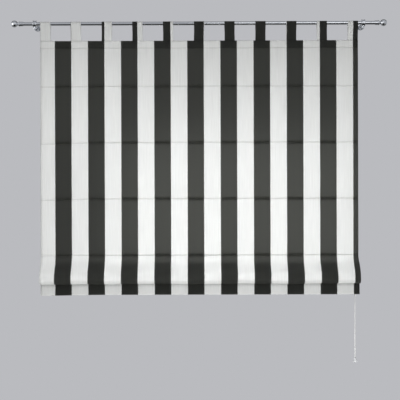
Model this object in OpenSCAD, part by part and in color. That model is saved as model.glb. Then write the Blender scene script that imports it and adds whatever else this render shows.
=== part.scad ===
// Tab-top roman blind on a rod, in millimetres.
// X runs along the rod, Z is up, and the room is on the -Y side.
// The origin is on the wall plane, midway between the brackets, level with the rod's axis.

/* [Cloth] */
// Width of the cloth
cloth_w = 1400; // [1000:10:2000]
// Thickness of the cloth with its lining
cloth_t = 1.2; // [0.8:0.1:2]
// Rod axis down to the top edge of the cloth
head_drop = 76; // [50:1:120]
// Height of the header band, top edge to stitch line
header_h = 34; // [28:1:50]
// Stitch line of the header down to the first seam
first_gap = 167; // [120:1:260]
// Distance between the seams
pleat_pitch = 248; // [200:1:320]
// Seams on the part of the cloth that hangs flat
flat_seams = 4; // [2:1:5]
// Width of one stripe
stripe_w = 73; // [30:1:140]
// Width of the light stripe at the left edge
stripe_first = 64; // [5:1:72]
// Depth of the groove that a seam's stitches pull in
seam_depth = 0.5; // [0.1:0.1:0.6]
// Height of that groove
seam_h = 4; // [2:0.5:8]

/* [Fold] */
// How far the drawn-up pleat stands out in front
fold_out = 54; // [44:1:70]
// Fullest point of the fold, below the last seam
fold_peak = 106; // [92:1:112]
// Lower edge of the fold, below the last seam
fold_drop = 124; // [118:1:150]
// Turn of the cloth at the lowest batten, below the last seam
turn_drop = 38; // [28:1:46]
// Distance between the two layers at that turn
turn_d = 3.5; // [2.5:0.5:5]
// Lower edge of the hem, below the last seam
hem_drop = 174; // [165:1:220]
// Height of the turned-up hem
hem_h = 44; // [36:1:50]
// Lean of the hem from the vertical, in degrees
hem_lean = 4; // [2:1:12]

/* [Tabs] */
// Number of tabs
tab_count = 11; // [5:1:13]
// Width of a tab
tab_w = 45; // [30:1:70]
// Thickness of a tab's cloth
tab_t = 1.2; // [0.8:0.1:2]
// Length of a tab that is sewn inside the header
tab_seat = 22; // [12:1:24]
// Slack between a tab and the rod
tab_slack = 0.3; // [0.2:0.1:1]

/* [Rod and finials] */
// Rod diameter
rod_d = 16; // [12:1:20]
// Wall of the rod's tube
rod_wall = 1; // [0.6:0.1:2]
// Rod axis to the wall
rod_standoff = 85; // [70:1:130]
// Rod end past the middle of the bracket
rod_overhang = 67; // [45:1:200]
// Ball of the finial
ball_d = 30; // [24:1:45]
// Neck between bead and ball
neck_d = 14; // [10:1:18]
// Gap between bead and ball
neck_len = 5; // [2:0.5:10]
// Bead at the rod's end
bead_d = 21; // [20:0.5:28]
// Length of the bead past the rod's end
bead_len = 3; // [2:0.5:6]
// Collar of the finial over the rod
collar_d = 19.6; // [18:0.2:24]
// Length of rod inside the collar
collar_len = 16; // [8:1:25]
// Length of the finial's plug inside the rod
plug_len = 24; // [10:1:40]

/* [Brackets] */
// Cloth edge to the bracket's ring
bracket_gap = 16; // [8:1:40]
// Length of the ring along the rod
ring_len = 16; // [12:1:30]
// Outside diameter of the ring
ring_od = 26; // [23:1:34]
// Diameter of the two raised rims on the ring
rim_d = 29; // [26:1:38]
// Length of a rim
rim_len = 3; // [2:0.5:5]
// Diameter of the arm
arm_d = 9; // [8:1:14]
// Diameter of the wall plate
plate_d = 38; // [36:1:60]
// Thickness of the wall plate
plate_t = 5; // [4:0.5:8]
// Boss that takes the arm
boss_d = 18; // [16:1:24]
// Length of the boss in front of the plate
boss_len = 9; // [6:1:16]
// Distance between the two wall screws
hole_pitch = 26; // [26:1:28]
// Diameter of a wall screw hole
hole_d = 4.5; // [3.5:0.1:6]
// Thumb screw shank
thumb_d = 5; // [4:0.5:6]
// Thumb screw head
thumb_head_d = 10; // [8:0.5:12]
// Height of the thumb screw head
thumb_head_h = 6; // [4:0.5:10]
// Threaded pad under the ring
pad_d = 11; // [9:0.5:14]
// Height of the pad under the ring
pad_h = 3; // [2:0.5:6]

/* [Battens] */
// Diameter of a batten
batten_d = 6; // [4:0.5:8]
// Wall of the batten pocket
pocket_wall = 1.2; // [0.6:0.1:2]
// Height of the pocket's tape
tape_h = 18; // [14:1:22]
// Thickness of the pocket's tape
tape_t = 0.8; // [0.6:0.1:1.6]
// Batten end inside the pocket's end
batten_inset = 5; // [2:1:20]
// Height of the hem bar
bar_h = 25; // [15:1:30]
// Thickness of the hem bar
bar_t = 3; // [2:0.5:5]
// Thickness of the head slat
slat_t = 6; // [4:0.5:12]
// Thickness of the facing around the slat
facing_t = 1.2; // [0.8:0.1:2]

/* [Lift cords] */
// Number of lift cords
cord_count = 4; // [3:1:4]
// Diameter of a lift cord
cord_d = 1.4; // [1:0.1:1.6]
// Cloth edge to the first lift cord
cord_inset = 100; // [50:5:200]
// Bend of a cord at its guide
cord_bend = 4; // [3:0.5:8]
// Half the distance between cords that run side by side
bundle_s = 1; // [0.9:0.1:1.3]
// Hole of a cord ring
ring_hole_d = 8; // [7:0.5:12]
// Wire of a cord ring
ring_wire = 2; // [1.5:0.1:3]
// Hole of a screw eye
eye_hole_d = 7; // [6:0.5:9]
// Wire of a screw eye
eye_wire = 1.8; // [1.4:0.1:2.4]
// Diameter of the toggle under the lowest rings
toggle_d = 10; // [9:0.5:14]
// Height of a toggle
toggle_h = 9; // [6:0.5:14]
// Knot under a toggle
knot_d = 4; // [3:0.5:5]

/* [Cord lock and pull] */
// Pull cord to the cloth's right edge
pull_inset = 11; // [8:1:40]
// Wall of the lock's body
lock_wall = 2; // [1.5:0.1:3]
// Width of the space for the cords, front to back
lock_room = 8; // [7:0.5:9]
// Lock body to the left of its pin
lock_reach = 18; // [14:1:30]
// Lock body above the cords
lock_head = 8; // [6:1:14]
// Pin that turns the cords down
pin_d = 6; // [5:0.5:8]
// Roller that jams the cords
roller_d = 6; // [5:0.5:7]
// Spindle ends of the roller
spindle_d = 2.4; // [1.8:0.1:3]
// Travel of the roller in its slots
roller_travel = 4; // [2:0.5:4]
// Space between pin and roller at rest
roller_room = 5; // [4.5:0.5:8]
// Lock to the joiner of the four cords
tail_len = 85; // [50:5:150]
// Diameter of the joiner
joiner_d = 10; // [9:0.5:12]
// Height of the joiner
joiner_h = 24; // [20:1:35]
// Diameter of the pull cord
pull_d = 2.2; // [1.6:0.1:3]
// Diameter of the acorn
acorn_d = 16; // [12:1:20]
// Height of the acorn
acorn_h = 21; // [18:1:35]

/* [Hidden] */
$fn = 48;
// running clearance, play of a piece inside another, and overrun of a cut
fit = 0.15;
play = 0.3;
cut = 1;
// colours
ink = "#33342f";
chalk = "#e6e7e4";
chrome = "#c3c6ca";
lining = "#dcdcd6";
timber = "#e9e6dc";
nylon = "#f0f0ec";
alloy = "#b9bcc0";

// stack of layers, front to back
rod_r = rod_d / 2;
rod_y = -rod_standoff;
back_y = rod_y - tab_t;
mid_y = back_y - cloth_t / 2;
slat_y = rod_y + tab_t + play;
rear_y = slat_y + slat_t + play + facing_t;

// heights
top_z = -head_drop;
stitch_z = top_z - header_h;
function seam_z(k) = stitch_z - first_gap - (k - 1) * pleat_pitch;
last_z = seam_z(flat_seams);
batten_count = flat_seams + 1;

// brackets and rod along X
half_w = cloth_w / 2;
bracket_x = half_w + bracket_gap + ring_len / 2;
rod_half = bracket_x + rod_overhang;
ball_x = rod_half + bead_len + neck_len + ball_d / 2;
neck_sink = neck_len / 2;
arm_sink = 3;
thumb_tip = rod_r + fit;

// the fold's curve: shares of how far it stands out and of its drops
out_share = 0.15;
rise_share = 0.47;
swell_share = 0.57;
round_share = 0.4;
belly_shares = [0.85, 0.63, 0.41, 0.26];
back_shares = [0.92, 0.82, 0.67, 0.49];
hem_out_share = 0.26;
hang_share = 0.03;
flap_share = 0.35;
fold_steps = 9;
turn_steps = 6;

// hem pocket
hem_gap = bar_t + 2 * play;
hem_r = (hem_gap + cloth_t) / 2;
hem_jog = 4;
hang_f = hang_share * fold_out;
hem_q = [hem_out_share * fold_out, hem_drop - hem_r - cloth_t / 2];
hem_down = [sin(hem_lean), cos(hem_lean)];
hem_front = [cos(hem_lean), -sin(hem_lean)];

// battens and pockets
pocket_bore_r = batten_d / 2 + play;
pocket_r = pocket_bore_r + pocket_wall;
pocket_off = tape_t / 2 + pocket_r;
function tape_y(k) = back_y - (k > flat_seams ? hang_f : 0);
function tape_z(k) = k > flat_seams ? last_z - turn_drop - tape_h / 2 : seam_z(k);

// lift cords
lift_z = top_z - header_h / 2;
eye_r = (eye_hole_d + eye_wire) / 2;
eye_gap = 0.5;
eye_past = 3;
shank_d = 2.4;
shank_share = 0.7;
shank_in = shank_share * slat_t;
cord_y = rear_y + eye_gap + eye_r + eye_wire / 2;
ring_r = (ring_hole_d + ring_wire) / 2;
ring_seat = 0.05;
cord_step = (cloth_w - 2 * cord_inset) / (cord_count - 1);
function lift_x(i) = -half_w + cord_inset + (i - 1) * cord_step;
function side_y(i) = cord_y + (i % 2 == 0 ? bundle_s : -bundle_s);
function run_z(i) = lift_z + (i <= 2 ? bundle_s : -bundle_s);
toggle_top = tape_z(batten_count) - ring_wire / 2 - fit;
toggle_low = toggle_top - toggle_h;
knot_z = toggle_low - fit - knot_d / 2;

// cord lock
pull_x = half_w - pull_inset;
pin_z = lift_z - bundle_s - cord_d / 2 - fit - pin_d / 2;
pin_x = pull_x - (lift_z - pin_z);
roller_x = pull_x - bundle_s - cord_d / 2 - fit - roller_d / 2;
roller_z = pin_z - pin_d / 2 - roller_d / 2 - roller_room;
roller_lean = 45;
lock_right = pull_x + bundle_s + cord_d / 2 + play + lock_wall;
lock_left = pin_x - lock_reach;
lock_top = lift_z + lock_head;
lock_low = roller_z - roller_d / 2 - lock_wall;
lock_back = cord_y + lock_room / 2 + lock_wall;
entry_d = 2 * (bundle_s * sqrt(2) + cord_d / 2 + play);

// joiner, pull cord and acorn
joiner_top = lock_low - tail_len;
joiner_low = joiner_top - joiner_h;
joiner_split = joiner_h / 2;
tail_in = joiner_h / 4;
pull_bore = pull_d / 2 + fit;
joiner_tip_share = 0.4;
// route of the pull cord, from inside the joiner to inside the acorn
pull_route = [
    [0, 0, 8], [0, 0, 0], [0, 0, -60], [0, 0, -140], [0, 0, -220], [0, 0, -300],
    [-1, 0, -380], [-1, 0, -460], [-1, 0, -540], [-1, 0, -620], [-1, 0, -700],
    [-2, 0, -780], [-2, 0, -860], [-2, 0, -940], [-2, 0, -1020], [-2, 0, -1110],
    [-2, 0, -1200], [-2, 0, -1256], [-2, 0, -1264]
];
pull_end = 17;
pull_sides = 8;
pull_steps = 4;
acorn_bore = 10;
acorn_shares = [[0.2, 0], [0.26, 0.06], [0.28, 0.2], [0.36, 0.4], [0.47, 0.58], [0.5, 0.7],
    [0.47, 0.82], [0.36, 0.93], [0.2, 0.985], [0, 1]];

SIDES = ["left", "right"];

// Shapes that repeat

// a point of the fold, f in front of the flat cloth and v below the last seam
function fold_pt(f, v) = [mid_y - f, last_z - v];

// points of a cubic curve, without its first point
function curve(a, b, c, d, n) = [for (i = [1:n]) let (t = i / n, u = 1 - t)
    u * u * u * a + 3 * u * u * t * b + 3 * u * t * t * c + t * t * t * d];

function unit(v) = v / norm(v);

// the two sides of a ribbon along a path, s = 1 on the left of its direction
function side(p, h, s) = [for (i = [0:len(p) - 1])
    let (a = p[max(i - 1, 0)], b = p[min(i + 1, len(p) - 1)], t = unit(b - a))
    p[i] + s * h * [-t.y, t.x]];

function reversed(p) = [for (i = [len(p) - 1:-1:0]) p[i]];

// an outline in Y and Z, drawn out along X
module along_x(x0, x1) {
    translate([x0, 0, 0])
        rotate([90, 0, 90])
            linear_extrude(x1 - x0)
                children();
}

module rod_bar(x0, x1, d) {
    translate([x0, 0, 0])
        rotate([0, 90, 0])
            cylinder(d = d, h = x1 - x0);
}

// edges of the stripes, and the pieces that they cut a stretch of X into
stripe_edges = [for (x = [-half_w + stripe_first:stripe_w:half_w]) x];
function cuts(x0, x1) = concat([x0], [for (e = stripe_edges) if (e > x0 && e < x1) e], [x1]);
function is_dark(x) = floor((x + half_w - stripe_first) / stripe_w) % 2 == 0;

// an outline drawn out along X as one striped cloth
module striped(x0, x1) {
    c = cuts(x0, x1);
    for (i = [0:len(c) - 2])
        color(is_dark((c[i] + c[i + 1]) / 2) ? ink : chalk)
            along_x(c[i], c[i + 1])
                children();
}

module mirrored(s) {
    if (s == "left")
        mirror([1, 0, 0])
            children();
    else
        children();
}

// Rod, finials and brackets

module rod() {
    color(chrome)
        translate([0, rod_y, 0])
            difference() {
                rod_bar(-rod_half, rod_half, rod_d);
                rod_bar(-rod_half - cut, rod_half + cut, rod_d - 2 * rod_wall);
            }
}

module finial(s) {
    color(chrome)
        mirrored(s)
            translate([0, rod_y, 0]) {
                difference() {
                    union() {
                        rod_bar(rod_half - collar_len, rod_half, collar_d);
                        rod_bar(rod_half - bead_len, rod_half + bead_len, bead_d);
                    }
                    rod_bar(rod_half - collar_len - cut, rod_half, rod_d + 2 * fit);
                }
                rod_bar(rod_half - plug_len, rod_half + bead_len, rod_d - 2 * rod_wall - 2 * fit);
                rod_bar(rod_half + bead_len, rod_half + bead_len + neck_len + neck_sink, neck_d);
                translate([ball_x, 0, 0])
                    sphere(d = ball_d);
            }
}

module bracket_plate(s) {
    color(chrome)
        mirrored(s)
            translate([bracket_x, 0, 0])
                rotate([90, 0, 0])
                    difference() {
                        union() {
                            cylinder(d = plate_d, h = plate_t);
                            cylinder(d = boss_d, h = plate_t + boss_len);
                        }
                        translate([0, 0, plate_t / 2])
                            cylinder(d = arm_d + 2 * fit, h = plate_t + boss_len);
                        for (z = [-hole_pitch / 2, hole_pitch / 2])
                            translate([0, z, -cut])
                                cylinder(d = hole_d, h = plate_t + 2 * cut);
                    }
}

module bracket_arm(s) {
    x0 = bracket_x - ring_len / 2;
    x1 = bracket_x + ring_len / 2;
    color(chrome)
        mirrored(s)
            difference() {
                union() {
                    translate([bracket_x, -plate_t / 2, 0])
                        rotate([90, 0, 0])
                            cylinder(d = arm_d, h = rod_standoff - plate_t / 2 - ring_od / 2 + arm_sink);
                    translate([0, rod_y, 0]) {
                        rod_bar(x0, x1, ring_od);
                        rod_bar(x0, x0 + rim_len, rim_d);
                        rod_bar(x1 - rim_len, x1, rim_d);
                    }
                    translate([bracket_x, rod_y, -rim_d / 2 - pad_h])
                        cylinder(d = pad_d, h = pad_h + arm_sink);
                }
                translate([0, rod_y, 0])
                    rod_bar(x0 - cut, x1 + cut, rod_d + 2 * fit);
                translate([bracket_x, rod_y, -rim_d])
                    cylinder(d = thumb_d + 2 * fit, h = rim_d);
            }
}

module bracket_screw(s) {
    head_z = -rim_d / 2 - pad_h;
    color(chrome)
        mirrored(s)
            translate([bracket_x, rod_y, 0]) {
                translate([0, 0, head_z])
                    cylinder(d = thumb_d, h = -head_z - thumb_tip);
                translate([0, 0, head_z - thumb_head_h])
                    cylinder(d = thumb_head_d, h = thumb_head_h);
            }
}

// Cloth

// middle line of the cloth from the last seam to the end of the turned-up hem
fold_path = let (
    bottom = [belly_shares[1] * fold_out, fold_drop],
    rise = [belly_shares[3] * fold_out, back_shares[1] * fold_drop],
    turn_top = [hang_f + turn_d, turn_drop],
    hem_top = hem_q - hem_h * hem_down,
    flap_len = flap_share * (hem_top.y - turn_drop),
    hem_end = hem_q - 2 * hem_r * hem_front - hem_h * hem_down
) concat(
    [[0, 0]],
    curve([0, 0], [out_share * fold_out, rise_share * fold_peak],
        [fold_out, swell_share * fold_peak], [fold_out, fold_peak], fold_steps),
    curve([fold_out, fold_peak], [fold_out, fold_peak + round_share * (fold_drop - fold_peak)],
        [belly_shares[0] * fold_out, fold_drop], bottom, turn_steps),
    curve(bottom, [belly_shares[2] * fold_out, fold_drop],
        [rise.x, back_shares[0] * fold_drop], rise, turn_steps),
    curve(rise, [rise.x, back_shares[2] * fold_drop],
        [turn_top.x, back_shares[3] * fold_drop], turn_top, turn_steps),
    [for (i = [1:turn_steps]) let (a = 180 * i / turn_steps)
        [hang_f + turn_d / 2 * (1 + cos(a)), turn_drop - turn_d / 2 * sin(a)]],
    curve([hang_f, turn_drop], [hang_f, turn_drop + flap_len],
        hem_top - flap_len * hem_down, hem_top, fold_steps),
    [for (i = [0:turn_steps]) let (a = 180 * i / turn_steps)
        hem_q - hem_r * (1 - cos(a)) * hem_front + hem_r * sin(a) * hem_down],
    [hem_end, hem_end - hem_jog * hem_down + (hem_gap - play) * hem_front]
);
fold_line = [for (p = fold_path) fold_pt(p.x, p.y)];
front_y = mid_y - cloth_t / 2;
seam_lines = concat([stitch_z], [for (k = [1:flat_seams - 1]) seam_z(k)], [last_z + seam_h]);
front_run = concat([[front_y, top_z]], [for (z = seam_lines) each
    [[front_y, z + seam_h / 2], [front_y + seam_depth, z], [front_y, z - seam_h / 2]]]);
panel_outline = concat(front_run, side(fold_line, cloth_t / 2, -1),
    reversed(side(fold_line, cloth_t / 2, 1)), [[back_y, top_z]]);

module cloth_panel() {
    striped(-half_w, half_w)
        polygon(panel_outline);
}

// Tabs

tab_pitch = (cloth_w - tab_w) / (tab_count - 1);
function tab_x(i) = -half_w + (i - 1) * tab_pitch;
// points where a strap from half-width p at the cloth's top edge lies round a circle of radius r
function strap_arc(p, r) = let (a0 = atan2(top_z, p) + acos(r / norm([p, top_z])), n = 2 * fold_steps)
    [for (i = [0:n]) let (a = a0 + (180 - 2 * a0) * i / n) [rod_y + r * cos(a), r * sin(a)]];
tab_inner_r = rod_r + tab_slack;
tab_outer = concat([[rod_y + tab_t, top_z - tab_seat], [rod_y + tab_t, top_z]],
    strap_arc(tab_t, tab_inner_r + tab_t),
    [[rod_y - tab_t, top_z], [rod_y - tab_t, top_z - tab_seat]]);
tab_inner = concat([[rod_y, top_z]], strap_arc(0, tab_inner_r));

module tab(i) {
    striped(tab_x(i), tab_x(i) + tab_w)
        polygon(concat(tab_outer, tab_inner), [
            [for (j = [0:len(tab_outer) - 1]) j],
            [for (j = [0:len(tab_inner) - 1]) len(tab_outer) + j]
        ]);
}

// Header behind the cloth

module shank_holes(d) {
    for (i = [1:cord_count])
        translate([lift_x(i) + cord_bend + eye_past, slat_y - cut, lift_z])
            rotate([-90, 0, 0])
                cylinder(d = d, h = rear_y - slat_y + 2 * cut);
}

module header_facing() {
    color(lining)
        difference() {
            along_x(-half_w, half_w)
                polygon([
                    [back_y, top_z], [rear_y, top_z], [rear_y, stitch_z], [back_y, stitch_z],
                    [back_y, stitch_z + facing_t], [rear_y - facing_t, stitch_z + facing_t],
                    [rear_y - facing_t, top_z - facing_t], [back_y, top_z - facing_t]
                ]);
            for (i = [1:tab_count])
                translate([tab_x(i) - fit, back_y - cut, top_z - facing_t - cut])
                    cube([tab_w + 2 * fit, 2 * tab_t + cut, facing_t + 2 * cut]);
            shank_holes(shank_d + 2 * fit);
        }
}

module head_batten() {
    color(timber)
        difference() {
            translate([-half_w + batten_inset, slat_y, stitch_z + facing_t + play])
                cube([cloth_w - 2 * batten_inset, slat_t, header_h - 2 * facing_t - 2 * play]);
            shank_holes(shank_d + 2 * fit);
        }
}

// Battens, pockets, rings and hem bar

module batten_pocket(k) {
    color(lining)
        translate([0, tape_y(k), tape_z(k)])
            difference() {
                union() {
                    translate([-half_w, 0, -tape_h / 2])
                        cube([cloth_w, tape_t, tape_h]);
                    translate([0, pocket_off, 0])
                        rod_bar(-half_w, half_w, 2 * pocket_r);
                }
                translate([0, pocket_off, 0])
                    rod_bar(-half_w - cut, half_w + cut, 2 * pocket_bore_r);
            }
}

module batten(k) {
    color(nylon)
        translate([0, tape_y(k) + pocket_off, tape_z(k)])
            rod_bar(-half_w + batten_inset, half_w - batten_inset, batten_d);
}

module ring_row(k) {
    color(nylon)
        for (i = [1:cord_count])
            translate([lift_x(i), tape_y(k) + pocket_off + pocket_r + ring_seat + ring_r + ring_wire / 2,
                tape_z(k)])
                rotate_extrude()
                    translate([ring_r, 0])
                        circle(d = ring_wire);
}

module hem_bar() {
    p = fold_pt(hem_q.x, hem_q.y);
    color(alloy)
        translate([0, p.x, p.y])
            rotate([-hem_lean, 0, 0])
                translate([-half_w + batten_inset, cloth_t / 2 + play, 0])
                    cube([cloth_w - 2 * batten_inset, bar_t, bar_h]);
}

// Cords

module cord_elbow(x, z, r, a0) {
    translate([x, 0, z])
        rotate([90, 0, 0])
            rotate([0, 0, a0])
                rotate_extrude(angle = 90)
                    translate([r, 0])
                        circle(d = cord_d);
}

module lift_cord(i) {
    z1 = run_z(i);
    r1 = z1 - pin_z;
    low = joiner_top - tail_in;
    color(nylon)
        translate([0, side_y(i), 0]) {
            translate([lift_x(i), 0, knot_z])
                sphere(d = knot_d);
            translate([lift_x(i), 0, knot_z])
                cylinder(d = cord_d, h = z1 - cord_bend - knot_z);
            cord_elbow(lift_x(i) + cord_bend, z1 - cord_bend, cord_bend, 90);
            translate([0, 0, z1])
                rod_bar(lift_x(i) + cord_bend, pin_x, cord_d);
            cord_elbow(pin_x, pin_z, r1, 0);
            translate([pin_x + r1, 0, low])
                cylinder(d = cord_d, h = pin_z - low);
        }
}

module cord_toggles() {
    color(nylon)
        for (i = [1:cord_count])
            translate([lift_x(i), side_y(i), toggle_low])
                difference() {
                    cylinder(d = toggle_d, h = toggle_h);
                    translate([0, 0, -cut])
                        cylinder(d = cord_d + 2 * fit, h = toggle_h + 2 * cut);
                }
}

module cord_guide(i) {
    shank_end = slat_y + slat_t - shank_in;
    color(chrome)
        translate([lift_x(i) + cord_bend + eye_past, 0, lift_z]) {
            translate([0, cord_y, 0])
                rotate([0, 90, 0])
                    rotate_extrude()
                        translate([eye_r, 0])
                            circle(d = eye_wire);
            translate([0, shank_end, 0])
                rotate([-90, 0, 0])
                    cylinder(d = shank_d, h = cord_y - eye_r - shank_end);
        }
}

// Cord lock

// a slot for the roller's spindle, through both cheeks of the body
module spindle_slot() {
    d = spindle_d + 2 * play;
    depth = lock_back - rear_y + 2 * cut;
    translate([roller_x, lock_back + cut, roller_z])
        rotate([90, -roller_lean, 0]) {
            cylinder(d = d, h = depth);
            translate([0, roller_travel, 0])
                cylinder(d = d, h = depth);
            translate([-d / 2, 0, 0])
                cube([d, roller_travel, depth]);
        }
}

module cord_lock_body() {
    room_x = lock_left + lock_wall;
    color(nylon)
        difference() {
            translate([lock_left, rear_y, lock_low])
                cube([lock_right - lock_left, lock_back - rear_y, lock_top - lock_low]);
            translate([room_x, cord_y - lock_room / 2, lock_low - cut])
                cube([lock_right - lock_wall - room_x, lock_room, lock_top - lock_wall - lock_low + cut]);
            translate([0, cord_y, lift_z])
                rod_bar(lock_left - cut, room_x + cut, entry_d);
            translate([pin_x, lock_back + cut, pin_z])
                rotate([90, 0, 0])
                    cylinder(d = pin_d + 2 * fit, h = lock_back - rear_y + 2 * cut);
            spindle_slot();
        }
}

module cord_lock_pin() {
    color(alloy)
        translate([pin_x, lock_back, pin_z])
            rotate([90, 0, 0])
                cylinder(d = pin_d, h = lock_back - rear_y);
}

module cord_lock_roller() {
    body_len = lock_room - 2 * play;
    color(alloy)
        translate([roller_x, cord_y, roller_z])
            rotate([90, 0, 0]) {
                translate([0, 0, -body_len / 2])
                    cylinder(d = roller_d, h = body_len);
                translate([0, 0, -lock_room / 2 - lock_wall / 2])
                    cylinder(d = spindle_d, h = lock_room + lock_wall);
            }
}

// Pull cord and what is on it

module cord_joiner() {
    r = joiner_d / 2;
    tip = joiner_tip_share * joiner_d;
    bore = entry_d / 2;
    color(nylon)
        translate([pull_x, cord_y, joiner_top])
            rotate_extrude()
                polygon([
                    [bore, 0], [tip, 0], [r, -tail_in], [r, -joiner_split], [tip, -joiner_h],
                    [pull_bore, -joiner_h], [pull_bore, -joiner_split], [bore, -joiner_split]
                ]);
}

// a smooth line through the route's points
function route_pt(p, i, t) = let (
    a = p[max(i - 1, 0)],
    b = p[i],
    c = p[i + 1],
    d = p[min(i + 2, len(p) - 1)]
) b + 0.5 * t * (c - a + t * (2 * a - 5 * b + 4 * c - d + t * (3 * b - a - 3 * c + d)));
pull_line = [
    for (i = [0:len(pull_route) - 2], j = [0:pull_steps - 1])
        route_pt(pull_route, i, j / pull_steps),
    pull_route[len(pull_route) - 1]
];

module pull_cord() {
    n = len(pull_line);
    points = [for (p = pull_line, s = [0:pull_sides - 1]) let (a = 360 * s / pull_sides)
        p + pull_d / 2 * [cos(a), sin(a), 0]];
    walls = [for (i = [0:n - 2], s = [0:pull_sides - 1]) let (u = (s + 1) % pull_sides)
        [i * pull_sides + s, i * pull_sides + u, (i + 1) * pull_sides + u, (i + 1) * pull_sides + s]];
    caps = [
        [for (s = [pull_sides - 1:-1:0]) s],
        [for (s = [0:pull_sides - 1]) (n - 1) * pull_sides + s]
    ];
    color(nylon)
        translate([pull_x, cord_y, joiner_low])
            polyhedron(points, concat(walls, caps));
}

module acorn() {
    color(nylon)
        translate([pull_x, cord_y, joiner_low] + pull_route[pull_end])
            rotate_extrude()
                polygon(concat(
                    [[0, -acorn_bore], [pull_bore, -acorn_bore], [pull_bore, 0]],
                    [for (p = acorn_shares) [p.x * acorn_d, -p.y * acorn_h]]
                ));
}

rod();
for (s = SIDES) {
    finial(s);
    bracket_plate(s);
    bracket_arm(s);
    bracket_screw(s);
}
cloth_panel();
for (i = [1:tab_count])
    tab(i);
header_facing();
head_batten();
for (k = [1:batten_count]) {
    batten_pocket(k);
    batten(k);
    ring_row(k);
}
hem_bar();
for (i = [1:cord_count]) {
    lift_cord(i);
    cord_guide(i);
}
cord_toggles();
cord_lock_body();
cord_lock_pin();
cord_lock_roller();
cord_joiner();
pull_cord();
acorn();
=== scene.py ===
import math

import bmesh
import bpy
import numpy as np
from mathutils import Matrix


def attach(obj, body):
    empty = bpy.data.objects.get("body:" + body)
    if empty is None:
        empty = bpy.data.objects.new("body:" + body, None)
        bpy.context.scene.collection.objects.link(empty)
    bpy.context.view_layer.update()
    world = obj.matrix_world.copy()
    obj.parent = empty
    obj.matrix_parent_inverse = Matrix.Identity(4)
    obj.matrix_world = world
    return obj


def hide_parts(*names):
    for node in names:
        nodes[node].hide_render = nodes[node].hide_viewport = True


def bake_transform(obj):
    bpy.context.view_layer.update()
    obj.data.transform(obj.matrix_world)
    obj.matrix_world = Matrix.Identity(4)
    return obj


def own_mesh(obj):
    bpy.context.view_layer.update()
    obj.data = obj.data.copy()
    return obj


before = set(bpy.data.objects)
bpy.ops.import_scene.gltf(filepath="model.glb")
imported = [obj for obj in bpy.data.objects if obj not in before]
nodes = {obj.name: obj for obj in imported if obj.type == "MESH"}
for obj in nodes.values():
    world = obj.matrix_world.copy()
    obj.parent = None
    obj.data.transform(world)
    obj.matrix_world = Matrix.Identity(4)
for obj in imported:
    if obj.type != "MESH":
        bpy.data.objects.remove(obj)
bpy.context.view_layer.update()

print("frame loaded,", len(nodes), "solids")


# Small tools

millimetre = 0.001  # in metres
fullTurn = 2 * math.pi
meshCare = {"merge": 1e-6, "sliver": 1e-7, "sharp": 50}  # metres, metres, degrees

# node settings that recur
times, timesPlus = {"operation": "MULTIPLY"}, {"operation": "MULTIPLY_ADD"}
sine, larger = {"operation": "SINE"}, {"operation": "MAXIMUM"}
inColour = {"data_type": "RGBA"}
noiseLow, noiseHigh = 0.3, 0.7  # nearly all values of a noise lie between these


def hexToLinear(code):  # sRGB hex to linear light, channel by channel
    value = np.array([int(code[i:i + 2], 16) for i in (1, 3, 5)]) / 255
    bright = ((value + 0.055) / 1.055) ** 2.4
    return (*np.where(value <= 0.04045, value / 12.92, bright).tolist(), 1.0)


def addNode(tree, kind, settings=None, links=None):
    # one node: its properties first, then the values or links of its inputs; a node that is
    # given as a value links its first output in use
    node = tree.nodes.new("ShaderNode" + kind)
    for key, value in (settings or {}).items():
        setattr(node, key, value)
    for key, value in (links or {}).items():
        if isinstance(value, bpy.types.Node):
            value = next(socket for socket in value.outputs if socket.enabled)
        if isinstance(value, bpy.types.NodeSocket):
            tree.links.new(value, node.inputs[key])
        else:
            node.inputs[key].default_value = value
    return node


def newMaterial(name):
    material = bpy.data.materials.new(name)
    material.use_nodes = True
    material.node_tree.nodes.clear()
    return material, material.node_tree


def lookingAt(place, aim, roll=0.0):  # a frame at place whose -Z axis points to aim, turned by roll
    place = np.array(place, float)
    back = place - np.array(aim)
    back /= np.linalg.norm(back)
    right = np.cross([0, 0, 1], back)
    right /= np.linalg.norm(right)
    up = np.cross(back, right)
    cos, sin = math.cos(roll), math.sin(roll)
    axes = np.stack([cos * right - sin * up, cos * up + sin * right, back], axis=1)
    return Matrix([[*row, at] for row, at in zip(axes, place)] + [[0, 0, 0, 1]])


def smoothStep(value):  # 0 to 1 with level ends: 3t^2 - 2t^3
    t = np.clip(value, 0, 1)
    return t * t * (3 - 2 * t)


def twoWaves(x, waves):  # a long sine along x plus a share of a short one
    long, start, share, short, shift = waves
    return (np.sin(fullTurn * (x / long + start))
            + share * np.sin(fullTurn * (x / short + shift)))


def cubic(a, b, c, d, steps):  # cubic curve from a to d, pulled by b and c, without its first point
    t = np.linspace(0, 1, steps + 1)[1:, None]
    a, b, c, d = (np.array(p, float) for p in (a, b, c, d))
    return (1 - t) ** 3 * a + 3 * (1 - t) ** 2 * t * b + 3 * (1 - t) * t ** 2 * c + t ** 3 * d


def throughPoints(points, steps):  # smooth line through the points, each span a Catmull-Rom cubic
    p = np.array(points, float)
    a = np.concatenate([p[:1], p[:-2]])
    b, c = p[:-1], p[1:]
    d = np.concatenate([p[2:], p[-1:]])
    t = (np.arange(steps) / steps)[None, :, None]
    a, b, c, d = (q[:, None] for q in (a, b, c, d))
    line = b + 0.5 * t * (c - a + t * (2 * a - 5 * b + 4 * c - d + t * (3 * b - a - 3 * c + d)))
    return np.concatenate([line.reshape(-1, p.shape[1]), p[-1:]])


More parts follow.
